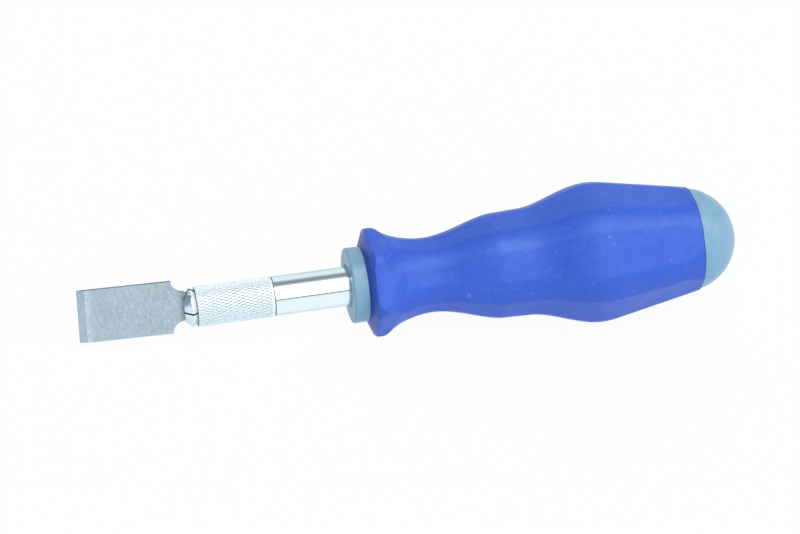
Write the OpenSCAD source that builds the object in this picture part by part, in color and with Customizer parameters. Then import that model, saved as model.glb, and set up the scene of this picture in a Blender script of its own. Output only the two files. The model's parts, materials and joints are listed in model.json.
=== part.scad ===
// Screwdriver-type scraper: a chisel blade in a four-jaw draw-in collet, on a
// chromed shank in a contoured six-sided handle with a ferrule and an end cap.
// +X runs along the tool towards the end cap and +Z is up, so that the handle
// lies on one of its six faces with the blade standing on edge. The origin is
// the centre of the ferrule's front rim, where a tool rack bears.

/* [Blade] */
// Width of the blade across its cutting edge
blade_w = 12.7; // [10:0.1:15]
// Length of the full-width part of the blade
blade_l = 21.2; // [14:0.1:30]
// Thickness of the blade
blade_t = 0.63; // [0.4:0.01:1]
// Length of the ground bevel behind the cutting edge
bevel_l = 1.7; // [0.8:0.05:3]
// Thickness left at the cutting edge
edge_t = 0.06; // [0.02:0.01:0.2]
// Width of the neck behind the shoulders
neck_w = 7; // [6:0.1:8]
// Width of the tang inside the collet
tang_w = 5.6; // [4:0.1:5.7]
// Length of the tang behind the collet's nose
tang_l = 13.5; // [9:0.1:14]
// Lean of the clamped blade in its own plane, in degrees
blade_lean = 1.8; // [0:0.1:2]
// Turn of the clamped blade and collet from the grip's upright face, in degrees
blade_turn = 11.5; // [-15:0.5:15]

/* [Collet] */
// Diameter of the collet's nose
nose_d = 5.6; // [4:0.1:6.2]
// Largest diameter of the collet's head
head_d = 8.9; // [8:0.1:9.2]
// Reach of the nose in front of the clamping sleeve
head_reach = 2.9; // [2.2:0.1:4]
// Diameter of the collet's body inside the sleeve
collet_d = 6.9; // [6.4:0.1:7.2]
// Depth of the saw cuts that part the four jaws
slot_l = 14.2; // [14.1:0.1:15]
// Width of the saw cut that crosses the blade's slot
cross_slot_w = 0.4; // [0.2:0.05:0.8]
// Width across the two driving flats at the collet's rear
key_w = 5.4; // [5.2:0.1:6]
// Outside diameter of the drawbar thread on the collet's tail
drawbar_d = 5; // [4:0.1:5.1]
// Length of the drawbar tail
drawbar_l = 10; // [7:0.1:12]

/* [Clamping sleeve] */
// Outside diameter over the knurl
sleeve_d = 9.2; // [8.6:0.1:11]
// Length of the sleeve
sleeve_l = 17.55; // [17.4:0.05:22]
// Depth of the knurl
knurl_depth = 0.2; // [0.05:0.05:0.3]
// Plain band between the knurl and the sleeve's rear end
rear_band_l = 0.8; // [0.4:0.1:2]

/* [Shank] */
// Diameter of the bright shank
shank_d = 9; // [8:0.1:11]
// Length of shank that shows in front of the ferrule
shank_l = 17.5; // [16:0.1:60]
// Diameter of the flange that seats the shank on the handle core
seat_d = 12.4; // [11.6:0.1:13.2]
// Thickness of that flange
seat_t = 1.2; // [0.8:0.1:1.5]
// Diameter of the shank inside the handle core
pin_d = 8; // [7:0.1:8.8]
// Width across the two flats that stop the shank turning in the core
pin_flat_w = 6.6; // [6.2:0.1:7]
// Outside diameter of the thread at the shank's rear end
stud_d = 6; // [5:0.1:6.2]

/* [Ferrule] */
// Diameter of the ferrule behind its rounded front edge
ferrule_d = 17.4; // [17:0.1:18]
// Diameter of the ferrule where it meets the grip
ferrule_rear_d = 17.2; // [16.8:0.1:17.6]
// Length of ferrule that shows in front of the grip
ferrule_l = 3.4; // [2.6:0.1:6]
// Radius of the front edge
ferrule_round = 0.5; // [0.3:0.1:1]
// Diameter of the recess in the front face
recess_d = 10.2; // [9.6:0.1:14]
// Depth of that recess
recess_depth = 0.2; // [0.1:0.1:0.6]
// Length of the skirt that grips the core's nose
skirt_l = 4; // [2:0.1:5]

/* [Grip] */
// Diameter of the front flange
flange_d = 25; // [22:0.1:28]
// Distance from the ferrule's front to the flange's rim
flange_x = 5.5; // [5.4:0.1:8]
// Radius of the rim's front edge
rim_round = 0.8; // [0.6:0.1:1.2]
// Length of the rim between that edge and the flare behind it
rim_l = 1.1; // [0.8:0.1:2]
// Width across the six flats that stop the flange rolling
flat_w = 22.7; // [22:0.1:24.5]
// Diameter at the neck
neck_d = 17.24; // [17.1:0.02:19]
// Distance from the ferrule's front to the neck
neck_x = 18.6; // [16:0.1:20]
// Diameter at the knee where the finger valley starts
knee_d = 23.96; // [22.5:0.02:25]
// Distance from the ferrule's front to the knee
knee_x = 33.3; // [31:0.1:34]
// Diameter at the end of the finger valley
valley_d = 24.7; // [23.5:0.1:26]
// Distance from the ferrule's front to the end of the finger valley
valley_x = 40.8; // [39:0.1:42]
// Diameter over the edges at the palm swell
swell_d = 32.5; // [29:0.1:36]
// Distance from the ferrule's front to the palm swell
swell_x = 57.8; // [54:0.1:60]
// Diameter where the grip meets the end cap
seam_d = 24.3; // [23.7:0.1:25]
// Distance from the ferrule's front to the end cap
seam_x = 81.4; // [76:0.1:95]

/* [Handle core] */
// Diameter of the core's nose
core_nose_d = 14; // [13.4:0.1:14.2]
// Diameter of the core under the finger valley
core_mid_d = 18; // [17:0.1:18.6]
// Diameter of the core under the palm swell
core_rear_d = 21.2; // [20:0.1:22]
// Bore of the hollow rear half
hollow_d = 16; // [14:0.1:16.4]
// Distance from the ferrule's front to the bottom of the hollow
hollow_x = 47.3; // [44:0.1:52]
// Width of the ribs that key the grip
rib_w = 2; // [1:0.1:3]
// Height of those ribs over the finger valley's core
rib_h = 1; // [0.4:0.1:1.2]

/* [End cap] */
// Diameter of the end cap at the seam
cap_d = 23.7; // [23:0.1:24]
// Height of the dome
cap_h = 10.1; // [6:0.1:11]
// Wall of the dome
cap_wall = 2.4; // [1.5:0.1:3.5]
// Length of the plug that closes the core
plug_l = 8; // [5:0.1:12]
// Wall of the plug
plug_wall = 1.6; // [1:0.1:3]

/* [Shank fixing] */
// Width across the flats of the nut
nut_w = 10; // [9:0.1:11]
// Thickness of the nut
nut_t = 5; // [4:0.1:6]
// Diameter of the washer
washer_d = 12.5; // [11.8:0.1:13.5]
// Thickness of the washer
washer_t = 1.6; // [1:0.1:2]

/* [Fits] */
// Radial clearance between pieces that turn or slide
run_gap = 0.05; // [0.02:0.01:0.1]
// Clearance between pieces that are fixed together
seat_gap = 0.02; // [0.01:0.01:0.05]
// Clearance on each face of the blade in its slot
slot_gap = 0.02; // [0.01:0.01:0.05]

/* [Hidden] */

// Cuts run past the faces that they open by this much
overrun = 1;
// Facets of a turned piece in a preview
round_fn = 96;
// Length of one straight piece of the grip's outline
outline_step = 1.2;
// Small chamfers
shank_chamfer = 0.15;
sleeve_chamfer = 0.15;
plug_chamfer = 0.6;
stud_chamfer = 0.5;
// Half angle of the cone between the collet and the sleeve's mouth
seat_angle = 30;
// Cylindrical land between the two cones of the collet's head
head_land = 0.15;
// Length over which the sleeve's bore keeps the collet from turning
key_l = 3.3;
// Length of the driving flats on the collet
flat_l = 4.7;
// Room behind the collet for tightening
draw_room = 0.7;
// Room at the bottom of the drawbar's socket
socket_room = 1.2;
// Length of the drill point at the bottom of that socket
drill_cone_l = 1.4;
// Depth inside the jaws at which the shoulders run into the neck
neck_in_l = 0.3;
// Length over which the neck narrows to the tang
neck_taper_l = 1;
// Thread that stands out behind the nut
stud_rear_l = 2;
// Where the core's steps start and end, as shares of the grip's own stretches
core_rise_share = 0.55;
core_foot_share = 0.2;
core_rear_share = 0.6;
rib_start_share = 0.2;
// Angle of the flange's front cone where it runs into the rim
rim_angle = 153;
// Number of faces on the grip
grip_faces = 6;
// Colours
blue = [0.33, 0.45, 0.87];
grey = [0.55, 0.69, 0.78];
core_grey = [0.45, 0.48, 0.5];
chrome = [0.86, 0.89, 0.91];
nickel = [0.78, 0.8, 0.82];
bare_steel = [0.67, 0.74, 0.79];
zinc = [0.7, 0.7, 0.66];

// Places along the tool
shank_front_x = -shank_l;
sleeve_rear_x = shank_front_x - run_gap;
sleeve_front_x = sleeve_rear_x - sleeve_l;
nose_x = sleeve_front_x - head_reach;
blade_neck_x = nose_x + neck_in_l;
shoulder_x = blade_neck_x - (blade_w - neck_w) / 2;
tip_x = shoulder_x - blade_l;
tang_end_x = nose_x + tang_l;
head_x = nose_x + (head_d - nose_d) / 2 + head_land;
cone_end_x = head_x + (head_d - collet_d) / 2 / tan(seat_angle);
slot_end_x = nose_x + slot_l;
collet_rear_x = shank_front_x - draw_room;
drawbar_end_x = collet_rear_x + drawbar_l;
socket_end_x = drawbar_end_x + socket_room;
core_front_x = ferrule_l;
seat_x = core_front_x - seat_t;
skirt_end_x = ferrule_l + skirt_l;
washer_x = hollow_x;
nut_x = washer_x + washer_t + seat_gap;
stud_end_x = nut_x + nut_t + stud_rear_l;
flare_x = flange_x + rim_l;
apex_x = seam_x + cap_h;

// Part of the way from a to b
function between(a, b, share) = a + (b - a) * share;

// Sizes that follow from the driving ones
skirt_wall_share = 0.75;
sleeve_bore_d = collet_d + 2 * run_gap;
skirt_d = between(core_nose_d, ferrule_rear_d, skirt_wall_share);
dome_r = (cap_h * cap_h + cap_d * cap_d / 4) / (2 * cap_h);
dome_x = apex_x - dome_r;

// Stations of the grip's edges along the tool: place, radius and slope. The
// flare's shares are those of the way, and of the drop, from rim to neck.
flare_way_shares = [0.2, 0.556];
flare_drop_shares = [0.375, 0.815];
flare_slopes = [-0.6, -0.26];
knee_slope = 0.19;
valley_slope = 0.01;
tail_slope = -0.188;
valley_start_share = 0.46;
valley_start_rise_share = 0.6;
valley_start_slope = 0.03;
crest_l = 3.8;
flare = [
    for (i = [0 : 1]) [
        between(flare_x, neck_x, flare_way_shares[i]),
        between(flange_d, neck_d, flare_drop_shares[i]) / 2,
        flare_slopes[i],
    ],
];
valley_start = [
    between(knee_x, valley_x, valley_start_share),
    between(knee_d, valley_d, valley_start_rise_share) / 2,
    valley_start_slope,
];
tail_r = seam_d / 2 - tail_slope * (seam_x - swell_x - crest_l);
stations = [
    [flare_x, flange_d / 2, 0],
    flare[0],
    flare[1],
    [neck_x, neck_d / 2, 0],
    [knee_x, knee_d / 2, knee_slope],
    valley_start,
    [valley_x, valley_d / 2, valley_slope],
    [swell_x, swell_d / 2, 0],
    [swell_x + crest_l, tail_r, tail_slope],
    [seam_x, seam_d / 2, tail_slope],
];

// Stations of the six faces: place, and the face's distance from the axis as a
// share of the edges' radius. Over 1, the grip is round. The first station lies
// just behind the flats on the flange, which end where they meet the flare.
flat_end_share = 0.22;
flat_clear_share = 0.25;
face_start_share = 0.55;
tail_face_share = 0.8;
flat_end_x = between(flare_x, neck_x, flat_end_share);
flat_clear_x = between(flare_x, neck_x, flat_clear_share);
face_places = [
    flat_clear_x,
    between(flare[0][0], flare[1][0], face_start_share),
    neck_x,
    knee_x,
    swell_x,
    between(swell_x, seam_x, tail_face_share),
    seam_x,
];
face_shares = [flat_r(flat_clear_x) / edge_r(flat_clear_x), 0.98, 0.97, 0.96, 0.946, 0.944, 0.978];
face_stations = [for (i = [0 : len(face_places) - 1]) [face_places[i], face_shares[i], 0]];

// Cubic between two stations of place, value and slope
function cubic(p, q, x) =
    let (
        run = q[0] - p[0],
        t = (x - p[0]) / run
    )
    p[1] * (1 - 3 * t * t + 2 * t * t * t)
    + q[1] * (3 * t * t - 2 * t * t * t)
    + run * (p[2] * t * (1 - t) * (1 - t) + q[2] * t * t * (t - 1));

function span_of(list, x) = max([for (i = [0 : len(list) - 2]) if (list[i][0] <= x || i == 0) i]);

function edge_r(x) =
    let (i = span_of(stations, x))
    cubic(stations[i], stations[i + 1], x);

// Distance from the axis of the flats on the flange
function flat_r(x) = between(flat_w / 2, edge_r(flat_end_x), (x - flange_x) / (flat_end_x - flange_x));

function face_share(x) =
    let (i = span_of(face_stations, x))
    cubic(face_stations[i], face_stations[i + 1], x);

function face_r(x) = edge_r(x) * face_share(x);

// Places along the grip at which its edges are worked out, and its faces between
grip_steps = ceil((seam_x - flare_x) / outline_step);
half_step_share = 0.5;
grip_xs = [for (i = [0 : grip_steps]) between(flare_x, seam_x, i / grip_steps)];
half_xs = [for (i = [1 : grip_steps]) between(grip_xs[i - 1], grip_xs[i], half_step_share)];
face_xs = [for (x = half_xs) if (x > flat_clear_x) x];

// A solid turned about the tool's axis from an outline of place and radius
module turned(outline) {
    rotate([0, 90, 0])
        rotate_extrude($fn = round_fn)
            polygon([for (p = outline) [p[1], p[0]]]);
}

// A round bar along the tool's axis
module bar(d, x0, x1) {
    turned([[x0, 0], [x0, d / 2], [x1, d / 2], [x1, 0]]);
}

// A flat plate along the tool's axis, w thick across Y
module slab(w, depth, x0, x1) {
    translate([x0, -w / 2, -depth / 2])
        cube([x1 - x0, w, depth]);
}

// Places that repeat about the tool's axis
module around(count, start = 0) {
    for (i = [0 : count - 1])
        rotate([start + 360 * i / count, 0, 0])
            children();
}

// Outline of the blade seen on its face, with its centre line on the axis
module blade_outline() {
    shoulder_r = (blade_w - neck_w) / 2;
    difference() {
        union() {
            translate([tip_x, -blade_w / 2])
                square([blade_l + shoulder_r, blade_w]);
            polygon([
                [shoulder_x, -neck_w / 2],
                [blade_neck_x, -neck_w / 2],
                [blade_neck_x + neck_taper_l, -tang_w / 2],
                [tang_end_x, -tang_w / 2],
                [tang_end_x, tang_w / 2],
                [blade_neck_x + neck_taper_l, tang_w / 2],
                [blade_neck_x, neck_w / 2],
                [shoulder_x, neck_w / 2],
            ]);
        }
        for (side = [-1, 1])
            translate([shoulder_x + shoulder_r, side * (neck_w / 2 + shoulder_r)])
                circle(r = shoulder_r, $fn = round_fn);
    }
}

// Chisel blade on edge, ground on one face, leaning about the collet's rear
module scraper_blade() {
    color(bare_steel)
        rotate([-blade_turn, 0, 0])
            translate([collet_rear_x, 0, 0])
                rotate([0, blade_lean, 0])
                    translate([-collet_rear_x, 0, 0])
                        difference() {
                            translate([0, blade_t / 2, 0])
                                rotate([90, 0, 0])
                                    linear_extrude(blade_t)
                                        blade_outline();
                            translate([0, 0, -blade_w])
                                linear_extrude(2 * blade_w)
                                    polygon([
                                        [tip_x, blade_t / 2 - edge_t],
                                        [tip_x, -blade_t],
                                        [tip_x + bevel_l, -blade_t],
                                        [tip_x + bevel_l, -blade_t / 2],
                                    ]);
                        }
}

// Draw-in collet: a double cone split into four jaws, driving flats and a tail
module collet() {
    nose_r = nose_d / 2;
    head_r = head_d / 2;
    color(nickel)
        rotate([-blade_turn, 0, 0])
            difference() {
                turned([
                    [nose_x, 0],
                    [nose_x, nose_r],
                    [head_x - head_land, head_r],
                    [head_x, head_r],
                    [cone_end_x, collet_d / 2],
                    [collet_rear_x, collet_d / 2],
                    [collet_rear_x, drawbar_d / 2],
                    [drawbar_end_x - stud_chamfer, drawbar_d / 2],
                    [drawbar_end_x, drawbar_d / 2 - stud_chamfer],
                    [drawbar_end_x, 0],
                ]);
                slab(blade_t + 2 * slot_gap, head_d + overrun, nose_x - overrun, slot_end_x);
                rotate([90, 0, 0])
                    slab(cross_slot_w, head_d + overrun, nose_x - overrun, slot_end_x);
                for (side = [-1, 1])
                    translate([0, side * (key_w + collet_d) / 2, 0])
                        slab(collet_d, 2 * collet_d, collet_rear_x - flat_l, collet_rear_x);
            }
}

// Knurled sleeve that is turned to draw the collet in
module clamping_sleeve() {
    r = sleeve_d / 2;
    bore_r = sleeve_bore_d / 2;
    mouth_r = head_d / 2 - (sleeve_front_x - head_x) * tan(seat_angle) + run_gap;
    band_r = r - knurl_depth / 2;
    key_x = sleeve_rear_x - key_l;
    color(chrome)
        difference() {
            turned([
                [sleeve_front_x, 0],
                [sleeve_front_x, r - sleeve_chamfer],
                [sleeve_front_x + sleeve_chamfer, r],
                [sleeve_rear_x - rear_band_l - knurl_depth, r],
                [sleeve_rear_x - rear_band_l, band_r],
                [sleeve_rear_x - sleeve_chamfer, band_r],
                [sleeve_rear_x, band_r - sleeve_chamfer],
                [sleeve_rear_x, 0],
            ]);
            turned([
                [sleeve_front_x - overrun, 0],
                [sleeve_front_x - overrun, mouth_r],
                [sleeve_front_x, mouth_r],
                [sleeve_front_x + (mouth_r - bore_r) / tan(seat_angle), bore_r],
                [key_x, bore_r],
                [key_x, 0],
            ]);
            intersection() {
                bar(sleeve_bore_d, key_x - overrun, sleeve_rear_x + overrun);
                rotate([-blade_turn, 0, 0])
                    slab(key_w + 2 * run_gap, sleeve_d, key_x - 2 * overrun, sleeve_rear_x + 2 * overrun);
            }
        }
}

// Section of the shank that the core keeps from turning
module shank_pin(gap, x0, x1) {
    intersection() {
        bar(pin_d + 2 * gap, x0, x1);
        slab(pin_flat_w + 2 * gap, 2 * pin_d, x0, x1);
    }
}

// Chromed shank with a tapped socket in front and a seat, flats and stud behind
module shank() {
    r = shank_d / 2;
    socket_r = drawbar_d / 2 + run_gap;
    color(chrome) {
        difference() {
            turned([
                [shank_front_x, 0],
                [shank_front_x, r - shank_chamfer],
                [shank_front_x + shank_chamfer, r],
                [seat_x, r],
                [seat_x, seat_d / 2],
                [core_front_x, seat_d / 2],
                [core_front_x, 0],
            ]);
            turned([
                [shank_front_x - overrun, 0],
                [shank_front_x - overrun, socket_r],
                [socket_end_x, socket_r],
                [socket_end_x + drill_cone_l, 0],
            ]);
        }
        shank_pin(0, core_front_x, hollow_x);
        turned([
            [hollow_x, 0],
            [hollow_x, stud_d / 2],
            [stud_end_x - stud_chamfer, stud_d / 2],
            [stud_end_x, stud_d / 2 - stud_chamfer],
            [stud_end_x, 0],
        ]);
    }
}

// Grey ferrule with a rounded front edge, pressed on the core's nose
module ferrule() {
    front_r = ferrule_d / 2;
    turn = 15;
    color(grey)
        turned(concat(
            [
                [recess_depth, shank_d / 2 + seat_gap],
                [recess_depth, recess_d / 2],
                [0, recess_d / 2],
            ],
            [
                for (a = [0 : turn : 90])
                    [
                        ferrule_round * (1 - cos(a)),
                        front_r - ferrule_round * (1 - sin(a)),
                    ],
            ],
            [
                [ferrule_l, ferrule_rear_d / 2],
                [ferrule_l, skirt_d / 2],
                [skirt_end_x, skirt_d / 2],
                [skirt_end_x, core_nose_d / 2 + seat_gap],
                [core_front_x - seat_gap, core_nose_d / 2 + seat_gap],
                [core_front_x - seat_gap, seat_d / 2 + seat_gap],
                [seat_x - seat_gap, seat_d / 2 + seat_gap],
                [seat_x - seat_gap, shank_d / 2 + seat_gap],
            ]
        ));
}

// Shape of the core, which the grip is moulded over with a gap of grow
module core_form(grow) {
    nose_r = core_nose_d / 2 + grow;
    mid_r = core_mid_d / 2 + grow;
    rear_r = core_rear_d / 2 + grow;
    rise_x = between(neck_x, knee_x, core_rise_share);
    swell_foot_x = between(valley_x, swell_x, core_foot_share);
    rear_x = between(valley_x, swell_x, core_rear_share);
    rib_x = between(knee_x, valley_x, rib_start_share);
    turned([
        [core_front_x, 0],
        [core_front_x, nose_r],
        [rise_x, nose_r],
        [knee_x, mid_r],
        [swell_foot_x, mid_r],
        [rear_x, rear_r],
        [seam_x, rear_r],
        [seam_x, 0],
    ]);
    around(grip_faces, start = 90)
        translate([rib_x - grow, -rib_w / 2 - grow, 0])
            cube([rear_x - rib_x + grow, rib_w + 2 * grow, mid_r + rib_h]);
}

// Hollow core with a keyed bore for the shank and ribs that key the grip
module handle_core() {
    color(core_grey)
        difference() {
            core_form(0);
            shank_pin(seat_gap, core_front_x - overrun, hollow_x + overrun);
            bar(hollow_d, hollow_x, seam_x + overrun);
        }
}

// Turned outline of the grip over its edges, with the flange's coned front
module grip_turned() {
    turn = 9;
    rim_r = flange_d / 2 - rim_round;
    turned(concat(
        [
            [core_front_x, 0],
            [core_front_x, ferrule_rear_d / 2],
        ],
        [for (a = [rim_angle : -turn : 90]) [flange_x + rim_round * cos(a), rim_r + rim_round * sin(a)]],
        [for (x = grip_xs) [x, edge_r(x)]],
        [[seam_x, 0]]
    ));
}

// Two opposite faces of the grip, as a plate whose faces follow the outline
module grip_face_pair() {
    face_line = [for (x = face_xs) [x, face_r(x)]];
    front = [core_front_x - overrun, flat_r(core_front_x - overrun)];
    clear = [flat_clear_x, flat_r(flat_clear_x)];
    back = [seam_x + overrun, face_r(seam_x)];
    upper = concat([front, clear], face_line, [back]);
    lower = [for (i = [len(upper) - 1 : -1 : 0]) [upper[i][0], -upper[i][1]]];
    rotate([90, 0, 0])
        linear_extrude(2 * swell_d, center = true)
            polygon(concat(upper, lower));
}

// Blue six-sided grip, moulded over the core and the ferrule's skirt
module grip() {
    color(blue)
        difference() {
            intersection() {
                grip_turned();
                grip_face_pair();
                rotate([360 / grip_faces, 0, 0])
                    grip_face_pair();
                rotate([-360 / grip_faces, 0, 0])
                    grip_face_pair();
            }
            core_form(seat_gap);
            bar(skirt_d + 2 * seat_gap, core_front_x - overrun, skirt_end_x + seat_gap);
        }
}

// Half section of the end cap, as radius and place along the tool
module cap_section() {
    plug_r = hollow_d / 2 - seat_gap;
    plug_end_x = seam_x - plug_l;
    difference() {
        union() {
            intersection() {
                translate([0, dome_x])
                    circle(r = dome_r, $fn = round_fn);
                translate([0, seam_x + seat_gap])
                    square([2 * dome_r, 2 * dome_r]);
            }
            polygon([
                [0, plug_end_x],
                [plug_r - plug_chamfer, plug_end_x],
                [plug_r, plug_end_x + plug_chamfer],
                [plug_r, seam_x + cap_wall],
                [0, seam_x + cap_wall],
            ]);
        }
        intersection() {
            translate([0, plug_end_x - overrun])
                square([plug_r - plug_wall, plug_l + 2 * dome_r]);
            union() {
                translate([0, dome_x])
                    circle(r = dome_r - cap_wall, $fn = round_fn);
                translate([0, plug_end_x - 2 * overrun])
                    square([dome_r, dome_x - plug_end_x + 2 * overrun]);
            }
        }
    }
}

// Grey domed cap, a hollow moulding whose plug closes the core
module end_cap() {
    color(grey)
        rotate([0, 90, 0])
            rotate_extrude($fn = round_fn)
                cap_section();
}

// Washer under the shank's nut
module shank_washer() {
    color(zinc)
        difference() {
            bar(washer_d, washer_x + seat_gap, washer_x + washer_t);
            bar(stud_d + 2 * run_gap, washer_x - overrun, nut_x);
        }
}

// Hexagon nut that pulls the shank's flange on the core's nose
module shank_nut() {
    color(zinc)
        difference() {
            translate([nut_x, 0, 0])
                rotate([0, 90, 0])
                    cylinder(d = nut_w / cos(30), h = nut_t, $fn = 6);
            bar(stud_d + 2 * seat_gap, nut_x - overrun, nut_x + nut_t + overrun);
        }
}

scraper_blade();
collet();
clamping_sleeve();
shank();
ferrule();
handle_core();
grip();
end_cap();
shank_washer();
shank_nut();
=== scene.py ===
"""Looks of a chisel blade scraper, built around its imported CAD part.

Sizes are written in millimetres, in the part's own frame: +X along the tool
towards the end cap, +Z up, the origin at the centre of the ferrule's front rim.
"""

import json
import math

import bpy
from mathutils import Matrix, Vector


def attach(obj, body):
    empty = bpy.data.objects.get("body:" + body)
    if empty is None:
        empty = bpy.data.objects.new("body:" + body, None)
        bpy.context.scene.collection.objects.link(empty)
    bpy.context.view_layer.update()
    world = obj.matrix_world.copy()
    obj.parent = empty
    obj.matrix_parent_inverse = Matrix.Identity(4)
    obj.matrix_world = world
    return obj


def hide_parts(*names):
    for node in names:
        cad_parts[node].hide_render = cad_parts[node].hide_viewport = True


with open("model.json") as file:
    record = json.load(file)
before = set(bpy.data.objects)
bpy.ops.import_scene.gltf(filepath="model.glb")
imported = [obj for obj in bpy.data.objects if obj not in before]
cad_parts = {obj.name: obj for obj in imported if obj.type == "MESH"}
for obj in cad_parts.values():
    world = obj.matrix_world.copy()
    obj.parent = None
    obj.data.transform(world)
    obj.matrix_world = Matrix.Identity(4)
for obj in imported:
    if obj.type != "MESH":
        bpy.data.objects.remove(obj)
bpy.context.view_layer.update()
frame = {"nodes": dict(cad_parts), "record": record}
nodes = frame["nodes"]
MM = 0.001
SHARP_ANGLE = 28


# Meshes

def new_object(name, verts, faces, smooth=True, sharp=SHARP_ANGLE):
    """A mesh object from vertices in millimetres."""
    mesh = bpy.data.meshes.new(name)
    mesh.from_pydata([[c * MM for c in v] for v in verts], [], faces)
    mesh.polygons.foreach_set("use_smooth", [smooth] * len(mesh.polygons))
    mesh.validate()
    mesh.update()
    if smooth:
        mesh.set_sharp_from_angle(angle=math.radians(sharp))
    obj = bpy.data.objects.new(name, mesh)
    bpy.context.scene.collection.objects.link(obj)
    return obj


def between(a, b, share):
    return a + (b - a) * share


def ring(x, radius, count):
    """Points round the tool's axis at x. The radius is a number or a function of
    the angle, which runs from +Y towards +Z."""
    points = []
    for i in range(count):
        a = 2 * math.pi * i / count
        r = radius(a) if callable(radius) else radius
        points.append((x, r * math.cos(a), r * math.sin(a)))
    return points


def band_faces(rings, count, split=None):
    """Faces between neighbouring rings, the last joined to the first. Where
    split(band, step) gives True or False, the quad is cut along a diagonal."""
    faces = []
    for k in range(rings):
        a0, b0 = k * count, (k + 1) % rings * count
        for i in range(count):
            j = (i + 1) % count
            quad = (a0 + i, b0 + i, b0 + j, a0 + j)
            cut = split(k, i) if split else None
            if cut is None:
                faces.append(quad)
            elif cut:
                faces += [(quad[0], quad[1], quad[2]), (quad[0], quad[2], quad[3])]
            else:
                faces += [(quad[0], quad[1], quad[3]), (quad[1], quad[2], quad[3])]
    return faces


def loop_object(name, rings, count, smooth=True, split=None):
    """A closed, hollow turned piece: its outside from front to rear, then its bore
    from rear to front."""
    verts = [p for r in rings for p in r]
    return new_object(name, verts, band_faces(len(rings), count, split=split), smooth)


def pole_object(name, rings, count):
    """A closed turned piece that starts and ends on the axis. A ring is a list of
    points, or one point where the piece closes."""
    verts, starts = [], []
    for r in rings:
        starts.append(len(verts))
        verts += r
    faces = []
    for a, b, ra, rb in zip(starts, starts[1:], rings, rings[1:]):
        for i in range(count):
            j = (i + 1) % count
            if len(ra) == 1:
                faces.append((a, b + i, b + j))
            elif len(rb) == 1:
                faces.append((a + i, b, a + j))
            else:
                faces.append((a + i, b + i, b + j, a + j))
    return new_object(name, verts, faces)


def turned_rings(profile, count):
    """Rings for an outline of places and radii; a radius of 0 closes the piece."""
    return [ring(x, r, count) if r else [(x, 0, 0)] for x, r in profile]


def arc(x, r, radius, start, end, steps):
    """Points of a rounded edge: its centre, radius and angles from +X."""
    points = []
    for i in range(steps + 1):
        a = math.radians(between(start, end, i / steps))
        points.append((x + radius * math.cos(a), r + radius * math.sin(a)))
    return points


THREAD_STEPS, THREAD_CHAMFER = 8, 0.5


def thread_rings(x0, x1, r, pitch, count):
    """Rings of a right-handed thread along +X, half its pitch deep and chamfered
    at its end."""
    steps = round((x1 - x0) / pitch * THREAD_STEPS)
    rings = []
    for k in range(steps + 1):
        x = between(x0, x1, k / steps)
        limit = r - max(0, THREAD_CHAMFER - (x1 - x))

        def radius(a, x=x, limit=limit):
            turn = (x / pitch - a / (2 * math.pi)) % 1
            return min(limit, r - pitch / 2 * abs(2 * turn - 1))
        rings.append(ring(x, radius, count))
    return rings


# The grip

FLANGE_X, FLANGE_R, RIM_R, RIM_ANGLE, RIM_L, FLAT_R = 5.5, 12.5, 0.8, 153, 1.1, 11.35
FLARE_X = FLANGE_X + RIM_L
NECK_X, NECK_R = 18.6, 8.62
KNEE_X, KNEE_R, KNEE_SLOPE = 33.3, 11.98, 0.19
VALLEY_X, VALLEY_R, VALLEY_SLOPE = 40.8, 12.35, 0.01
SWELL_X, SWELL_R, SWELL_FACE, CREST_L = 57.8, 16.25, 0.946, 3.8
SEAM_X, SEAM_R, TAIL_SLOPE = 81.4, 12.15, -0.188
FERRULE_L, FERRULE_REAR_R = 3.4, 8.6
# The grip's bore over the core and the ferrule's skirt, from the seam forward
GRIP_BORE = [
    (SEAM_X, 10.62), (50.82, 10.62), (44.14, 9.02), (KNEE_X, 9.02),
    (26.69, 7.02), (7.42, 7.02), (7.42, 8.22), (FERRULE_L, 8.22),
]


def flare(way, drop, slope):
    return between(FLARE_X, NECK_X, way), between(FLANGE_R, NECK_R, drop), slope


FLARES = [flare(0.2, 0.375, -0.6), flare(0.556, 0.815, -0.26)]
FLAT_END_X, FLAT_CLEAR_X = between(FLARE_X, NECK_X, 0.22), between(FLARE_X, NECK_X, 0.25)
# Place, radius and slope along the grip's corners
EDGE_STATIONS = [
    (FLARE_X, FLANGE_R, 0),
    *FLARES,
    (NECK_X, NECK_R, 0),
    (KNEE_X, KNEE_R, KNEE_SLOPE),
    (between(KNEE_X, VALLEY_X, 0.46), between(KNEE_R, VALLEY_R, 0.6), 0.03),
    (VALLEY_X, VALLEY_R, VALLEY_SLOPE),
    (SWELL_X, SWELL_R, 0),
    (SWELL_X + CREST_L, SEAM_R - TAIL_SLOPE * (SEAM_X - SWELL_X - CREST_L), TAIL_SLOPE),
    (SEAM_X, SEAM_R, TAIL_SLOPE),
]
# Place of the faces, their share of the corners' radius, and its slope
FACE_STATIONS = [
    (FLAT_CLEAR_X, 1.015, 0),
    (between(FLARES[0][0], FLARES[1][0], 0.55), 0.98, 0),
    (NECK_X, 0.97, 0),
    (KNEE_X, 0.96, 0),
    (SWELL_X, SWELL_FACE, 0),
    (between(SWELL_X, SEAM_X, 0.8), 0.944, 0),
    (SEAM_X, 0.978, 0),
]


def through(stations, x):
    """Cubic through stations of place, value and slope."""
    i = max([0] + [k for k in range(len(stations) - 1) if stations[k][0] <= x])
    (x0, v0, s0), (x1, v1, s1) = stations[i], stations[i + 1]
    run = x1 - x0
    t = (x - x0) / run
    return (
        v0 * (1 - 3 * t * t + 2 * t ** 3) + v1 * (3 * t * t - 2 * t ** 3)
        + run * (s0 * t * (1 - t) ** 2 + s1 * t * t * (t - 1))
    )


def soft_min(a, b, width):
    h = max(width - abs(a - b), 0) / width
    return min(a, b) - h * h * width / 4


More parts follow.
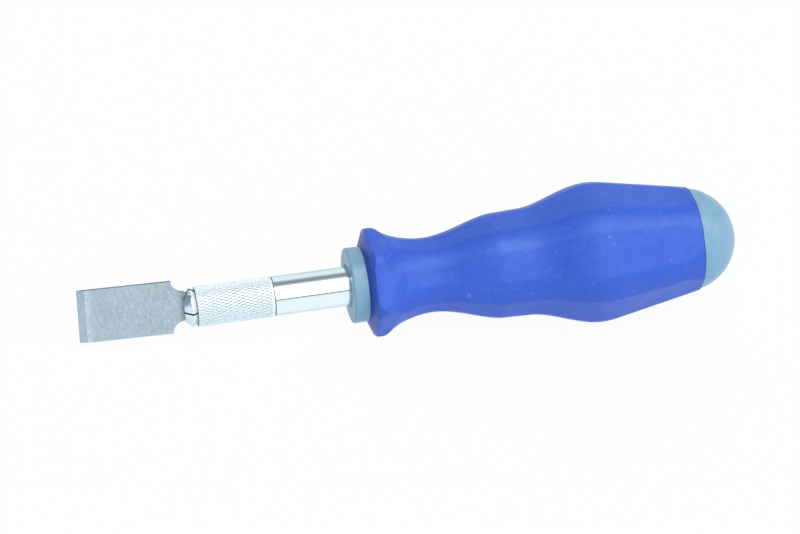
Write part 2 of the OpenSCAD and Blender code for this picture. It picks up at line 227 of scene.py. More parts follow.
HALF_FACE = math.pi / 6
CREASE_W, FLAT_CREASE_W = 0.16, 0.04


def six_sided(edge, face, crease):
    """A round radius cut by six faces, as a function of the angle."""
    def radius(a):
        off = a % (2 * HALF_FACE) - HALF_FACE
        return soft_min(edge, face / math.cos(off), crease)
    return radius


def flat_cut(x, r):
    """The flange's radius, cut by its six flats."""
    end = through(EDGE_STATIONS, FLAT_END_X)
    flat = between(FLAT_R, end, (x - FLANGE_X) / (FLAT_END_X - FLANGE_X))
    return six_sided(r, flat, FLAT_CREASE_W)


def faced(x):
    """The grip's radius behind the flange."""
    edge = through(EDGE_STATIONS, x)
    return six_sided(edge, edge * through(FACE_STATIONS, x), CREASE_W)


def make_grip():
    """Flange and flats in fine steps, then the six faces, then the bore."""
    count, fine_step, step = 360, 0.2, 0.45
    rings = [ring(FERRULE_L, FERRULE_REAR_R, count)]
    for x, r in arc(FLANGE_X, FLANGE_R - RIM_R, RIM_R, RIM_ANGLE, 90, 9):
        rings.append(ring(x, flat_cut(x, r), count))
    fine_steps = round((FLAT_CLEAR_X - FLANGE_X) / fine_step)
    for i in range(1, fine_steps):
        x = between(FLANGE_X, FLAT_CLEAR_X, i / fine_steps)
        rings.append(ring(x, flat_cut(x, through(EDGE_STATIONS, max(x, FLARE_X))), count))
    steps = round((SEAM_X - FLAT_CLEAR_X) / step)
    for i in range(steps + 1):
        x = between(FLAT_CLEAR_X, SEAM_X, i / steps)
        rings.append(ring(x, faced(x), count))
    rings += turned_rings(GRIP_BORE, count)
    return loop_object("contoured_grip", rings, count)


# The knurled sleeve

SLEEVE_FRONT_X, SLEEVE_REAR_X, SLEEVE_R = -35.1, -17.55, 4.6
KNURL_DEPTH, REAR_BAND_L, SLEEVE_CHAMFER = 0.1, 0.55, 0.15
KNURL_END_X = SLEEVE_REAR_X - REAR_BAND_L - KNURL_DEPTH
KNURL_AROUND, KNURL_ROWS, KNURL_STEPS = 40, 9, 8
BORE_R, KEY_HALF_W, KEY_L, MOUTH_R = 3.5, 2.75, 3.3, 3.865
SEAT_SLOPE = math.tan(math.radians(30))
# Turn of the blade, the collet and the sleeve's key from the grip's upright face
BLADE_TURN = math.radians(11.5)


def flatted(r, half_width, a):
    """A round radius with two flats, at the angle a from the middle of a flat."""
    return min(r, half_width / max(abs(math.cos(a)), 1e-6))


def make_sleeve():
    """Diamond knurl: flat diamonds between two families of V grooves."""
    count, rows = KNURL_AROUND * KNURL_STEPS, KNURL_ROWS * KNURL_STEPS
    valley = SLEEVE_R - KNURL_DEPTH

    def knurled(k):
        def radius(a):
            i = round(a * count / (2 * math.pi))
            return valley if not (k + i) % KNURL_STEPS or not (k - i) % KNURL_STEPS else SLEEVE_R
        return radius

    def keyed(a):
        return flatted(BORE_R, KEY_HALF_W, a + BLADE_TURN)

    rings = [
        ring(between(SLEEVE_FRONT_X, KNURL_END_X, k / rows), knurled(k), count)
        for k in range(rows + 1)
    ]
    rings += [ring(x, r, count) for x, r in [
        (SLEEVE_REAR_X - REAR_BAND_L, valley),
        (SLEEVE_REAR_X - SLEEVE_CHAMFER, valley),
        (SLEEVE_REAR_X, valley - SLEEVE_CHAMFER),
        (SLEEVE_REAR_X, keyed),
        (SLEEVE_REAR_X - KEY_L, keyed),
        (SLEEVE_REAR_X - KEY_L, BORE_R),
        (SLEEVE_FRONT_X + (MOUTH_R - BORE_R) / SEAT_SLOPE, BORE_R),
        (SLEEVE_FRONT_X, MOUTH_R),
    ]]

    def split(k, i):
        """Cuts a quad beside a groove along that groove."""
        rising, falling = (k - i + 1) % KNURL_STEPS, (k + i + 2) % KNURL_STEPS
        if k >= rows or min(rising, falling) > 2:
            return None
        return rising == 1 or (rising < 3 and falling > 2)
    return loop_object("knurled_sleeve", rings, count, smooth=False, split=split)


# Shank, ferrule and end cap

TURNED_STEPS = 192
CLEARANCE = 0.02
SHANK_FRONT_X, SHANK_R, SHANK_CHAMFER = -17.5, 4.5, 0.15
SOCKET_R, SOCKET_END_X, DRILL_POINT_L = 2.55, -7.0, 1.4
SEAT_X, SEAT_R, PIN_R, PIN_HALF_W = 2.2, 6.2, 4.0, 3.3
HOLLOW_X, STUD_R, STUD_END_X, STUD_PITCH = 47.3, 3.0, 55.92, 1.0


def make_shank():
    """Socket and bright shank, then the seat, the flatted pin and the stud."""
    count = TURNED_STEPS
    front = [
        (SOCKET_END_X + DRILL_POINT_L, 0), (SOCKET_END_X, SOCKET_R), (SHANK_FRONT_X, SOCKET_R),
        (SHANK_FRONT_X, SHANK_R - SHANK_CHAMFER), (SHANK_FRONT_X + SHANK_CHAMFER, SHANK_R),
        (SEAT_X, SHANK_R), (SEAT_X, SEAT_R), (FERRULE_L, SEAT_R),
    ]

    def pin(a):
        return flatted(PIN_R, PIN_HALF_W, a)
    rings = turned_rings(front, count)
    rings += [ring(FERRULE_L, pin, count), ring(HOLLOW_X, pin, count)]
    rings += thread_rings(HOLLOW_X, STUD_END_X, STUD_R, STUD_PITCH, count)
    rings += [[(STUD_END_X, 0, 0)]]
    return pole_object("bright_shank", rings, count)


FERRULE_R, FERRULE_ROUND = 8.7, 0.5
RECESS_R, RECESS_DEPTH, RECESS_CHAMFER = 5.1, 0.2, 0.1
SKIRT_R, SKIRT_END_X, CORE_NOSE_R = 8.2, 7.4, 7.02


def make_ferrule():
    """Front face with a shallow recess, then the outside, the skirt and the bore."""
    bore_r, seat_r, seat_x = SHANK_R + CLEARANCE, SEAT_R + CLEARANCE, SEAT_X - CLEARANCE
    core_x = FERRULE_L - CLEARANCE
    profile = [
        (RECESS_DEPTH, bore_r), (RECESS_DEPTH, RECESS_R - RECESS_CHAMFER),
        (RECESS_DEPTH - RECESS_CHAMFER, RECESS_R), (0, RECESS_R + RECESS_CHAMFER),
    ]
    profile += arc(FERRULE_ROUND, FERRULE_R - FERRULE_ROUND, FERRULE_ROUND, 180, 90, 8)
    profile += [
        (FERRULE_L, FERRULE_REAR_R), (FERRULE_L, SKIRT_R), (SKIRT_END_X, SKIRT_R),
        (SKIRT_END_X, CORE_NOSE_R), (core_x, CORE_NOSE_R), (core_x, seat_r), (seat_x, seat_r),
        (seat_x, bore_r),
    ]
    return loop_object("grey_ferrule", turned_rings(profile, TURNED_STEPS), TURNED_STEPS)


DOME_X, DOME_R, CAP_WALL = 79.5, 12.0, 2.4
PLUG_R, PLUG_BORE_R, PLUG_END_X, PLUG_CHAMFER = 7.98, 6.38, 73.4, 0.6


def make_cap():
    """Inside of the dome, then the plug and the outside of the dome."""
    inner, rim_x = DOME_R - CAP_WALL, SEAM_X + CLEARANCE
    bore_angle = math.degrees(math.asin(PLUG_BORE_R / inner))
    seam_angle = math.degrees(math.acos((rim_x - DOME_X) / DOME_R))
    profile = [(DOME_X + inner, 0)] + arc(DOME_X, 0, inner, 0, bore_angle, 12)[1:]
    profile += [
        (PLUG_END_X, PLUG_BORE_R), (PLUG_END_X, PLUG_R - PLUG_CHAMFER),
        (PLUG_END_X + PLUG_CHAMFER, PLUG_R), (rim_x, PLUG_R),
    ]
    profile += arc(DOME_X, 0, DOME_R, seam_angle, 0, 40)[:-1] + [(DOME_X + DOME_R, 0)]
    return pole_object("domed_cap", turned_rings(profile, TURNED_STEPS), TURNED_STEPS)


# Collet and blade

NOSE_X, NOSE_R, NOSE_ROUND_L, NOSE_ROUND_R = -38.0, 2.8, 0.08, 0.12
HEAD_R, HEAD_LAND, COLLET_R, COLLET_REAR_X = 4.45, 0.15, 3.45, -18.2
HEAD_X = NOSE_X + HEAD_R - NOSE_R + HEAD_LAND
DRAWBAR_R, DRAWBAR_END_X, DRAWBAR_PITCH = 2.5, -8.2, 0.8
SLOT_END_X, CROSS_SLOT_W = -23.8, 0.4
BLADE_T, SLOT_W, KEY_W, FLAT_L = 0.63, 0.67, 5.4, 4.7


def box_object(name, x0, x1, y0, y1, z0, z1):
    verts = [(x, y, z) for x in (x0, x1) for y in (y0, y1) for z in (z0, z1)]
    faces = [(0, 1, 3, 2), (4, 6, 7, 5), (0, 4, 5, 1), (2, 3, 7, 6), (0, 2, 6, 4), (1, 5, 7, 3)]
    return new_object(name, verts, faces, smooth=False)


def cut_away(obj, cutters):
    """Cuts the cutters out of the object and deletes them."""
    for c in cutters:
        mod = obj.modifiers.new("cut", "BOOLEAN")
        mod.operation, mod.solver, mod.object = "DIFFERENCE", "EXACT", c
    dg = bpy.context.evaluated_depsgraph_get()
    mesh = bpy.data.meshes.new_from_object(obj.evaluated_get(dg))
    obj.modifiers.clear()
    obj.data = mesh
    for c in cutters:
        bpy.data.objects.remove(c)
    mesh.polygons.foreach_set("use_smooth", [True] * len(mesh.polygons))
    mesh.set_sharp_from_angle(angle=math.radians(SHARP_ANGLE))


def make_collet():
    """Turned head, body and thread, then the slots and the driving flats."""
    count = 144
    profile = [
        (NOSE_X, 0), (NOSE_X, NOSE_R - NOSE_ROUND_R), (NOSE_X + NOSE_ROUND_L, NOSE_R),
        (HEAD_X - HEAD_LAND, HEAD_R), (HEAD_X, HEAD_R),
        (HEAD_X + (HEAD_R - COLLET_R) / SEAT_SLOPE, COLLET_R), (COLLET_REAR_X, COLLET_R),
    ]
    rings = turned_rings(profile, count)
    rings += thread_rings(COLLET_REAR_X, DRAWBAR_END_X, DRAWBAR_R, DRAWBAR_PITCH, count)
    rings += [[(DRAWBAR_END_X, 0, 0)]]
    obj = pole_object("split_collet", rings, count)
    # The cutters reach this far off the axis and start in front of the nose
    far, front = 6, NOSE_X - 1
    cutters = [
        box_object("cut_blade", front, SLOT_END_X, -SLOT_W / 2, SLOT_W / 2, -far, far),
        box_object("cut_cross", front, SLOT_END_X, -far, far, -CROSS_SLOT_W / 2, CROSS_SLOT_W / 2),
    ]
    for side in (-1, 1):
        y = sorted((side * KEY_W / 2, side * far))
        cutters.append(box_object("cut_flat", COLLET_REAR_X - FLAT_L, COLLET_REAR_X, *y, -far, far))
    cut_away(obj, cutters)
    obj.data.transform(Matrix.Rotation(-BLADE_TURN, 4, "X"))
    return obj


BLADE_W, BLADE_L, BEVEL_L, EDGE_T = 12.7, 21.2, 1.7, 0.06
NECK_W, NECK_IN_L, NECK_TAPER_L = 7.0, 0.3, 1.0
TANG_W, TANG_L, TANG_CHAMFER = 5.6, 13.5, 0.4
BLADE_LEAN = math.radians(1.8)
BLADE_SHARP_ANGLE = 10
BLADE_NECK_X = NOSE_X + NECK_IN_L
SHOULDER_R = (BLADE_W - NECK_W) / 2
SHOULDER_X = BLADE_NECK_X - SHOULDER_R
TIP_X = SHOULDER_X - BLADE_L


def make_blade():
    """The blade's outline on its face, from the bevel's upper end round by the tang,
    made thick, with the bevel in front."""
    half = [(TIP_X + BEVEL_L, BLADE_W / 2)]
    half += arc(SHOULDER_X + SHOULDER_R, BLADE_W / 2, SHOULDER_R, 180, 270, 12)
    half += [
        (BLADE_NECK_X + NECK_TAPER_L, TANG_W / 2), (NOSE_X + TANG_L - TANG_CHAMFER, TANG_W / 2),
        (NOSE_X + TANG_L, TANG_W / 2 - TANG_CHAMFER),
    ]
    outline = half + [(x, -z) for x, z in reversed(half)]
    n = len(outline)
    verts = [(x, -BLADE_T / 2, z) for x, z in outline] + [(x, BLADE_T / 2, z) for x, z in outline]
    faces = [tuple(range(n)), tuple(range(2 * n - 1, n - 1, -1))]
    faces += [(i, n + i, n + i + 1, i + 1) for i in range(n - 1)]
    edge = len(verts)
    y_edge = BLADE_T / 2 - EDGE_T
    verts += [(TIP_X, y_edge, BLADE_W / 2), (TIP_X, y_edge, -BLADE_W / 2),
              (TIP_X, BLADE_T / 2, BLADE_W / 2), (TIP_X, BLADE_T / 2, -BLADE_W / 2)]
    faces += [
        (edge, 0, n - 1, edge + 1), (edge, edge + 1, edge + 3, edge + 2),
        (n, edge + 2, edge + 3, 2 * n - 1),
        (0, edge, edge + 2, n), (n - 1, 2 * n - 1, edge + 3, edge + 1),
    ]
    c, s = math.cos(BLADE_LEAN), math.sin(BLADE_LEAN)
    turned = []
    for x, y, z in verts:
        dx = x - COLLET_REAR_X
        turned.append((COLLET_REAR_X + dx * c + z * s, y, -dx * s + z * c))
    obj = new_object("chisel_blade", turned, faces, sharp=BLADE_SHARP_ANGLE)
    obj.data.transform(Matrix.Rotation(-BLADE_TURN, 4, "X"))
    return obj


# Materials

# Lengths over which looks change: the painted shade at the grip's end by the cap and
# the painted shadow on the shank at the sleeve, the blade's shade at the nose, and its bevel's tone
# with a painted highlight at the heel
SEAM_SHADE_L, JOINT_SHADOW_W, NECK_SHADE_L, BEVEL_HEEL_L = 0.22, 0.22, 2, 4
# From this share of a normal along the tool, a face counts as an end or as the seat
END_FACING, SEAT_FACING = 0.6, 0.3


def scaled(color, share):
    return tuple(c * share for c in color)


class Nodes:
    """Short names for building a node tree."""

    def __init__(self, tree):
        self.tree = tree

    def link(self, a, b):
        self.tree.links.new(a, b)

    def give(self, socket, value):
        """Links or sets a socket; a tuple is a colour."""
        if isinstance(value, bpy.types.NodeSocket):
            self.link(value, socket)
        else:
            socket.default_value = (*value, 1) if isinstance(value, tuple) else value

    def node(self, kind, **values):
        n = self.tree.nodes.new(kind)
        for key, value in values.items():
            if key in n.inputs:
                n.inputs[key].default_value = value
            else:
                setattr(n, key, value)
        return n

    def math(self, kind, *values):
        n = self.node("ShaderNodeMath", operation=kind)
        for socket, value in zip(n.inputs, values):
            self.give(socket, value)
        return n.outputs[0]

    def split(self, vector):
        n = self.node("ShaderNodeSeparateXYZ")
        self.link(vector, n.inputs[0])
        return n.outputs["X"], n.outputs["Y"], n.outputs["Z"]

    def ramp(self, source, stops):
        """Colours or greys at places from 0 to 1."""
        n = self.node("ShaderNodeValToRGB")
        while len(n.color_ramp.elements) < len(stops):
            n.color_ramp.elements.new(0.5)
        for e, (at, value) in zip(n.color_ramp.elements, stops):
            e.position = at
            e.color = (*value, 1) if isinstance(value, tuple) else (value, value, value, 1)
        self.link(source, n.inputs["Fac"])
        return n.outputs["Color"]

    def mix(self, fac, a, b, kind="MIX"):
        """Mix of two colours; each is a colour or a socket."""
        n = self.node("ShaderNodeMix", data_type="RGBA", blend_type=kind)
        for socket, value in ((n.inputs[0], fac), (n.inputs[6], a), (n.inputs[7], b)):
            self.give(socket, value)
        return n.outputs[2]

    def times(self, a, b):
        return self.mix(1.0, a, b, "MULTIPLY")

    def seen_directly(self):
        """1 for what the camera sees, also by a reflection or through glass."""
        path = self.node("ShaderNodeLightPath")
        glossy = self.math("MAXIMUM", path.outputs["Is Camera Ray"], path.outputs["Is Glossy Ray"])
        return self.math("MAXIMUM", glossy, path.outputs["Is Transmission Ray"])


class Mat(Nodes):
    """A node material on one Principled shader."""

    def __init__(self, name, color, roughness, metallic=0.0, **inputs):
        self.mat = bpy.data.materials.new(name)
        self.mat.use_nodes = True
        super().__init__(self.mat.node_tree)
        self.bsdf = self.tree.nodes["Principled BSDF"]
        self.set("Base Color", (*color, 1))
        self.set("Roughness", roughness)
        self.set("Metallic", metallic)
        for key, value in inputs.items():
            self.set(key.replace("_", " "), value)
        coords = self.node("ShaderNodeTexCoord")
        self.place, self.facing = coords.outputs["Object"], coords.outputs["Normal"]
        self.bump_from = None

    def set(self, socket, value):
        self.bsdf.inputs[socket].default_value = value

    def noise(self, scale, detail=2.0, rough=0.5):
        """Noise with that many cells per metre, alike or one for each axis."""
        stretch = self.node("ShaderNodeMapping")
        stretch.inputs["Scale"].default_value = scale if isinstance(scale, tuple) else (scale,) * 3
        self.link(self.place, stretch.inputs["Vector"])
        n = self.node("ShaderNodeTexNoise", Scale=1.0, Detail=detail, Roughness=rough)
        self.link(stretch.outputs["Vector"], n.inputs["Vector"])
        return n.outputs["Fac"]

    def along(self, direction):
        """Distance along a direction, in metres."""
        n = self.node("ShaderNodeVectorMath", operation="DOT_PRODUCT")
        self.link(self.place, n.inputs[0])
        n.inputs[1].default_value = direction
        return n.outputs["Value"]

    def off_axis(self, r0, r1):
        """0 to 1 between two distances from the tool's axis, in millimetres."""
        _, y, z = self.split(self.place)
        squares = self.math("ADD", self.math("MULTIPLY", y, y), self.math("MULTIPLY", z, z))
        r = self.math("SQRT", squares)
        share = self.math("DIVIDE", self.math("SUBTRACT", r, r0 * MM), (r1 - r0) * MM)
        return self.math("MINIMUM", self.math("MAXIMUM", share, 0.0), 1.0)

    def color(self, socket):
        self.link(socket, self.bsdf.inputs["Base Color"])

    def roughness(self, socket):
        self.link(socket, self.bsdf.inputs["Roughness"])

    def bump(self, height, depth_mm, strength=1.0):
        """Adds a bump of that depth on top of the ones before it."""
        n = self.node("ShaderNodeBump", Strength=strength, Distance=depth_mm * MM)
        self.link(height, n.inputs["Height"])
        if self.bump_from:
            self.link(self.bump_from, n.inputs["Normal"])
        self.bump_from = n.outputs["Normal"]
        self.link(self.bump_from, self.bsdf.inputs["Normal"])


BLUE, BLUE_SPECK = (0.038, 0.102, 0.568), (0.13, 0.22, 0.72)


def blue_plastic():
    """Satin plastic with clouds, streaks, mottling and specks, with painted shade on the flange's
    front cone by the ferrule and at the seam with the cap.
    """
    m = Mat("blue_plastic", BLUE, 0.36, Specular_IOR_Level=0.45, Specular_Tint=(0.75, 1, 1, 1))
    cloud = m.noise(45, 3.0)
    streak = m.noise((40, 260, 260), 3.0)
    tone = m.ramp(m.mix(0.5, cloud, streak), [
        (0.3, (0.033, 0.092, 0.535)), (0.55, BLUE), (0.75, (0.045, 0.114, 0.607)),
    ])
    mottle = m.ramp(m.noise((700, 1000, 1000), 3.0, 0.6), [
        (0.3, (0.84, 0.89, 0.94)), (0.7, (1.16, 1.11, 1.06)),
    ])
    specks = m.ramp(m.noise(750, 0.0), [(0.8, 0.0), (0.85, 0.6)])
    tone = m.mix(specks, m.times(tone, mottle), BLUE_SPECK)
    x, _, _ = m.split(m.place)
    # Painted shade: dark on the flange's front cone by the ferrule, and a thin dark line at the
    # seam with the cap
    painted_shade = m.ramp(m.math("MULTIPLY", x, 1 / (SEAM_X * MM)), [
        (at / SEAM_X, shade) for at, shade in (
            (FERRULE_L, (0.27, 0.36, 0.64)), (FLANGE_X, (0.9, 0.93, 1.0)), (FLARE_X, 1.0),
            (SEAM_X - 1.6 * SEAM_SHADE_L, 1.0), (SEAM_X - SEAM_SHADE_L, 0.6),
        )
    ])
    m.color(m.times(tone, painted_shade))
    m.roughness(m.ramp(m.noise(220, 3.0), [(0.3, 0.33), (0.7, 0.45)]))
    m.bump(m.noise(2600, 2.0), 0.012, 0.5)
    m.bump(m.noise((90, 420, 420), 2.0), 0.03, 0.5)
    return m.mat


def grey_plastic(name, color):
    """Satin plastic with faint clouds and mottling."""
    m = Mat(name, color, 0.33, Specular_IOR_Level=0.5)
    tone = m.ramp(m.noise(70, 3.0), [(0.3, scaled(color, 0.97)), (0.7, scaled(color, 1.03))])
    mottle = m.ramp(m.noise(900, 3.0, 0.6), [(0.3, 0.92), (0.7, 1.08)])
    m.color(m.times(tone, mottle))
    m.roughness(m.ramp(m.noise(260, 3.0), [(0.3, 0.29), (0.7, 0.37)]))
    m.bump(m.noise(2600, 2.0), 0.004, 0.5)
    return m.mat


def bright_metal(name, color, roughness, grain, metallic=1.0):
    """Plated metal with fine turning marks round the tool's axis. Its tone is kept
    for looks that build on it."""
    m = Mat(name, color, roughness, metallic, Specular_Tint=(0.68, 0.77, 0.82, 1))
    marks = m.noise(grain, 2.0)
    m.roughness(m.ramp(marks, [(0.3, roughness * 0.75), (0.7, roughness * 1.3)]))
    m.tone = m.ramp(m.noise(180, 3.0), [(0.35, scaled(color, 0.96)), (0.65, color)])
    m.color(m.tone)
    m.bump(marks, 0.002, 0.3)
    return m


def polished_chrome():
    """Mirror plating, with a painted shadow in the joint at the sleeve."""
    m = bright_metal("shank_chrome", (0.96, 0.985, 1.0), 0.06, (3000, 160, 160))
    x, _, _ = m.split(m.place)
    # Painted shadow of the sleeve's rear edge on the shank
    joint_shadow = m.math("LESS_THAN", x, (SLEEVE_REAR_X + JOINT_SHADOW_W) * MM)
    m.color(m.mix(joint_shadow, m.tone, (0.3, 0.35, 0.38)))
    return m.mat


def knurled_chrome():
    """Bright plating, with painted shade and dirt darkening the grooves of the knurl, and painted
    shade on the front face.
    """
    m = bright_metal("sleeve_chrome", (0.91, 0.98, 1.0), 0.5, (2400, 900, 900), 0.35)
    # Darker towards the bottom of the grooves: painted shade, and dirt in them
    shade = m.ramp(m.off_axis(SLEEVE_R - KNURL_DEPTH, SLEEVE_R), [
        (0.0, 0.08), (0.25, 0.34), (0.5, 0.8), (0.75, 1.0),
    ])
    x, _, _ = m.split(m.place)
    ahead, _, _ = m.split(m.facing)
    # Painted shade on the sleeve's front face, at its mouth
    front = m.math("MULTIPLY", m.math("LESS_THAN", ahead, -END_FACING), 0.3)
    band = m.math("GREATER_THAN", x, KNURL_END_X * MM)
    rear = m.math("GREATER_THAN", ahead, END_FACING)
    for plain in (front, band, rear):
        shade = m.math("MAXIMUM", shade, plain)
    m.color(m.times(m.tone, shade))
    return m.mat


def collet_steel():
    """Nickel plating, with painted shade on the walls of the slots, and satin on the seat's cone.
    """
    metallic, seat_metallic, wall_reach = 0.9, 0.2, 0.01
    m = bright_metal("collet_steel", (0.84, 0.93, 0.98), 0.2, (2600, 300, 300), metallic)
    c, s = math.cos(BLADE_TURN), math.sin(BLADE_TURN)
    # Painted shade on the walls of the slots
    slot_shade = [
        m.math("LESS_THAN", m.math("ABSOLUTE", m.along(way)), (width / 2 + wall_reach) * MM)
        for way, width in (((0, c, -s), SLOT_W), ((0, s, c), CROSS_SLOT_W))
    ]
    m.color(m.mix(m.math("MAXIMUM", *slot_shade), m.tone, (0.05, 0.06, 0.07)))
    ahead, _, _ = m.split(m.facing)
    seat = m.math("GREATER_THAN", ahead, SEAT_FACING)
    change = m.math("MULTIPLY_ADD", seat, seat_metallic - metallic, metallic)
    m.link(change, m.bsdf.inputs["Metallic"])
    return m.mat


def blade_steel():
    """Ground steel with fine marks: on its front side a bevel a little darker with a
    painted highlight along its heel, and dark edges and a painted shade at the neck."""
    m = Mat("blade_steel", (0.545, 0.62, 0.705), 0.36, 1.0)
    fine = m.noise((3600, 3600, 1500), 3.0, 0.6)
    coarse = m.noise((1500, 1500, 500), 3.0, 0.6)
    tone = m.ramp(m.mix(0.4, fine, coarse), [
        (0.36, (0.43, 0.505, 0.58)), (0.5, (0.545, 0.62, 0.7)), (0.64, (0.665, 0.735, 0.815)),
    ])
    cloud = m.ramp(m.noise(150, 2.0), [(0.3, (0.95, 0.96, 0.92)), (0.7, (1.05, 1.04, 1.08))])
    tone = m.times(tone, cloud)
    c, s = math.cos(BLADE_LEAN), math.sin(BLADE_LEAN)
    way = m.along((c, -math.sin(BLADE_TURN) * s, -math.cos(BLADE_TURN) * s))
    heel = COLLET_REAR_X * c + TIP_X + BEVEL_L - COLLET_REAR_X
    behind = m.math("MULTIPLY_ADD", way, 1 / (BEVEL_HEEL_L * MM), 0.5 - heel / BEVEL_HEEL_L)
    # Along the blade: the bevel a little darker, a dark line before the heel, then a painted
    # highlight behind it
    bevel_tone_and_highlight = m.ramp(behind, [
        (0.08, 0.84), (0.16, 0.97), (0.4, 0.97), (0.49, 0.88),
        (0.505, 1.22), (0.64, 1.2), (0.9, 1.0),
    ])
    _, side, _ = m.split(m.facing)
    front = m.math("LESS_THAN", side, 0.0)
    edges = m.ramp(m.math("ABSOLUTE", side), [(0.4, 0.3), (0.6, 1.0)])
    x, _, _ = m.split(m.place)
    near = m.math("MULTIPLY_ADD", x, 1 / (NECK_SHADE_L * MM), 1 - NOSE_X / NECK_SHADE_L)
    neck = m.ramp(near, [(0.35, 1.0), (0.95, 0.74)])
    m.color(m.times(m.mix(front, tone, bevel_tone_and_highlight, "MULTIPLY"), m.times(neck, edges)))
    m.roughness(m.ramp(coarse, [(0.3, 0.3), (0.7, 0.42)]))
    m.bump(fine, 0.003, 0.5)
    return m.mat


MATERIALS = {
    "blue_plastic": blue_plastic(),
    "grey_plastic": grey_plastic("grey_plastic", (0.21, 0.37, 0.5)),
    "core_plastic": grey_plastic("core_plastic", (0.22, 0.25, 0.27)),
    "shank_chrome": polished_chrome(),
    "sleeve_chrome": knurled_chrome(),
    "collet_steel": collet_steel(),
    "blade_steel": blade_steel(),
    "zinc_steel": bright_metal("zinc_steel", (0.7, 0.7, 0.66), 0.3, (900, 900, 900)).mat,
}


def dress(obj, slot):
    obj.data.materials.clear()
    obj.data.materials.append(MATERIALS[slot])


for part in frame["record"]["subparts"]:
    dress(nodes[part["node"]], part["material_slot"])

# The maker, body, node that the piece stands for, and material slot of each piece
PIECES = [
    (make_grip, "handle", "grip", "blue_plastic"),
    (make_ferrule, "handle", "ferrule", "grey_plastic"),
    (make_cap, "handle", "end_cap", "grey_plastic"),
    (make_shank, "handle", "shank", "shank_chrome"),
    (make_sleeve, "sleeve", "clamping_sleeve", "sleeve_chrome"),
    (make_collet, "collet", "collet", "collet_steel"),
    (make_blade, "blade", "scraper_blade", "blade_steel"),
]
for make, body, node, slot in PIECES:
    piece = make()
    dress(piece, slot)
    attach(piece, body)
    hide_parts(node)


# Floor, light and camera

# The tool lies on a flat of its flange and the palm swell's lowest face
FLANGE_LOW, SWELL_LOW = (FLANGE_X, -FLAT_R), (SWELL_X, -SWELL_FACE * SWELL_R)
FLOOR_SLOPE = (SWELL_LOW[1] - FLANGE_LOW[1]) / (SWELL_LOW[0] - FLANGE_LOW[0])
FLOOR_GAP, FLOOR_REACH = 0.05, 3000
WHITE_SHARE, FLOOR_IN_METAL = 0.96, (0.86, 0.97, 1.0)


def make_floor():
    """A wide floor that is white to the camera, apart from a trace of its shading,
    and pale blue in reflections."""
    corners = [
        (x, y, FLANGE_LOW[1] + (x - FLANGE_LOW[0]) * FLOOR_SLOPE - FLOOR_GAP)
        for x, y in ((-FLOOR_REACH, -FLOOR_REACH), (FLOOR_REACH, -FLOOR_REACH),
                     (FLOOR_REACH, FLOOR_REACH), (-FLOOR_REACH, FLOOR_REACH))
    ]
    floor = new_object("floor", corners, [(0, 1, 2, 3)], smooth=False)
    m = Mat("floor", (0.77, 0.86, 0.95), 0.9, Specular_IOR_Level=0.0)
    white = m.node("ShaderNodeEmission", Strength=1.0)
    direct = m.node("ShaderNodeLightPath").outputs["Is Camera Ray"]
    m.link(m.mix(direct, FLOOR_IN_METAL, (1.0, 1.0, 1.0)), white.inputs["Color"])
    mix = m.node("ShaderNodeMixShader")
    m.link(m.math("MULTIPLY", m.seen_directly(), WHITE_SHARE), mix.inputs[0])
    m.link(m.bsdf.outputs[0], mix.inputs[1])
    m.link(white.outputs[0], mix.inputs[2])
    m.link(mix.outputs[0], m.tree.nodes["Material Output"].inputs["Surface"])
    floor.data.materials.append(m.mat)


# Levels of the studio by the angle round the tool's axis, from in front over the
# top, and by the way along the tool, where -1 is beyond the blade
SOFT_BOX = [
    (11, 0.0), (11.7, 0.31), (25, 0.34), (46, 0.47), (62, 0.53), (69, 1.0), (80, 1.0), (86, 0.0),
]
ROOM = [
    (-180, 0.6), (-6, 0.9), (5.5, 0.9), (6, 0.14), (10.5, 0.14), (12, 0.3), (82, 0.6),
    (88, 0.75), (95, 0.46), (102, 0.33), (109, 0.3), (116, 0.42), (124, 0.7), (132, 0.97),
    (165, 1.0), (179, 0.85),
]
SOFT_BOX_ALONG = [(-0.4, 0.0), (0.0, 1.0), (0.3, 1.0), (0.8, 0.5)]
ROOM_ALONG = [(-0.85, 0.9), (-0.35, 0.45), (0.0, 1.0), (0.3, 1.0), (0.8, 0.6)]
SOFT_BOX_LEVEL, ROOM_LEVEL, ROOM_TINT = 4.6, 1.0, (0.79, 0.92, 0.98, 1)


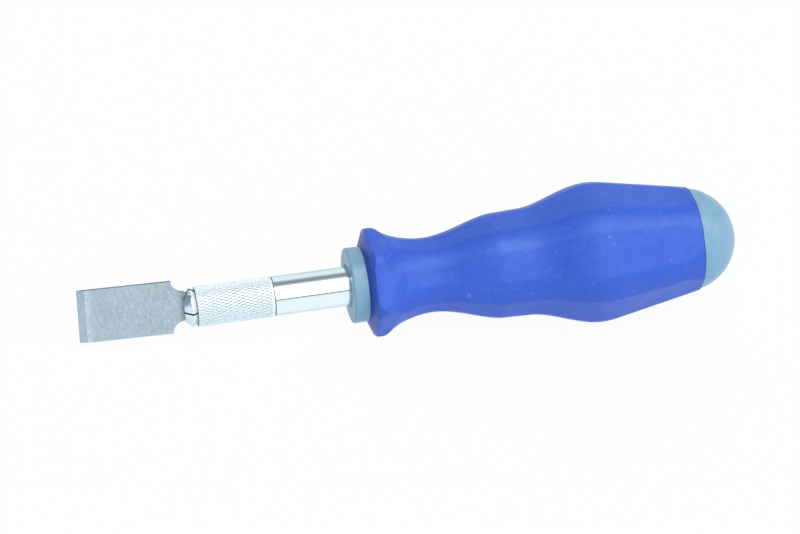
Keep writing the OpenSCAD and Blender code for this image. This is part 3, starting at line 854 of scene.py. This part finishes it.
def make_world():
    """A soft box in front and above, in a pale room with a dark gap behind the top
    and a thin one below the box. To the camera, the studio is white."""
    world = bpy.data.worlds.new("studio")
    world.use_nodes = True
    bpy.context.scene.world = world
    n = Nodes(world.node_tree)
    n.tree.nodes.clear()
    x, y, z = n.split(n.node("ShaderNodeTexCoord").outputs["Generated"])
    angle = n.math("ARCTAN2", z, n.math("MULTIPLY", y, -1.0))
    turn = n.math("MULTIPLY_ADD", angle, 1 / (2 * math.pi), 0.5)
    along = n.math("MULTIPLY_ADD", x, 0.5, 0.5)

    def by_angle(stops):
        return n.ramp(turn, [(deg / 360 + 0.5, level) for deg, level in stops])

    def by_way(stops):
        return n.ramp(along, [(way / 2 + 0.5, level) for way, level in stops])
    box = n.math("MULTIPLY", by_angle(SOFT_BOX), by_way(SOFT_BOX_ALONG))
    room = n.math("MULTIPLY", by_angle(ROOM), by_way(ROOM_ALONG))
    studio = n.node("ShaderNodeAddShader")
    for k, (source, level, tint) in enumerate((
            (box, SOFT_BOX_LEVEL, (1, 1, 1, 1)), (room, ROOM_LEVEL, ROOM_TINT))):
        glow = n.node("ShaderNodeBackground", Color=tint)
        n.link(n.math("MULTIPLY", source, level), glow.inputs["Strength"])
        n.link(glow.outputs[0], studio.inputs[k])
    white = n.node("ShaderNodeBackground", Color=(1, 1, 1, 1), Strength=1.0)
    mix, out = n.node("ShaderNodeMixShader"), n.node("ShaderNodeOutputWorld")
    n.link(n.node("ShaderNodeLightPath").outputs["Is Camera Ray"], mix.inputs[0])
    n.link(studio.outputs[0], mix.inputs[1])
    n.link(white.outputs[0], mix.inputs[2])
    n.link(mix.outputs[0], out.inputs["Surface"])


# The photograph's camera: its direction from the tool and the tool's slope in the
# picture, in degrees, then its distance, focal length in pixels, and aim
CAMERA_SWING, CAMERA_RISE, CAMERA_ROLL = 9.7, 34.5, 7.8
CAMERA_D, FOCAL_PX, PICTURE_W = 663.6, 2900, 800
AIM_X, AIM_UP = 12.5, 2.65
SENSOR_W = 36


def make_camera():
    swing, rise, roll = (math.radians(a) for a in (CAMERA_SWING, CAMERA_RISE, CAMERA_ROLL))
    to_camera = Vector((
        -math.sin(swing), -math.cos(swing) * math.cos(rise), math.cos(swing) * math.sin(rise),
    ))
    along = Vector((1, 0, 0)) - to_camera * to_camera.x
    along.normalize()
    across = to_camera.cross(along)
    right = along * math.cos(roll) - across * math.sin(roll)
    up = along * math.sin(roll) + across * math.cos(roll)
    place = (Vector((AIM_X, 0, 0)) + across * AIM_UP + to_camera * CAMERA_D) * MM
    cam = bpy.data.cameras.new("camera")
    cam.sensor_width = SENSOR_W
    cam.lens = FOCAL_PX * SENSOR_W / PICTURE_W
    cam.clip_start = 0.01
    obj = bpy.data.objects.new("camera", cam)
    bpy.context.scene.collection.objects.link(obj)
    turn = Matrix((right, up, to_camera)).transposed()
    obj.matrix_world = Matrix.Translation(place) @ turn.to_4x4()
    bpy.context.scene.camera = obj


make_floor()
make_world()
make_camera()
bpy.context.scene.view_settings.view_transform = "Standard"
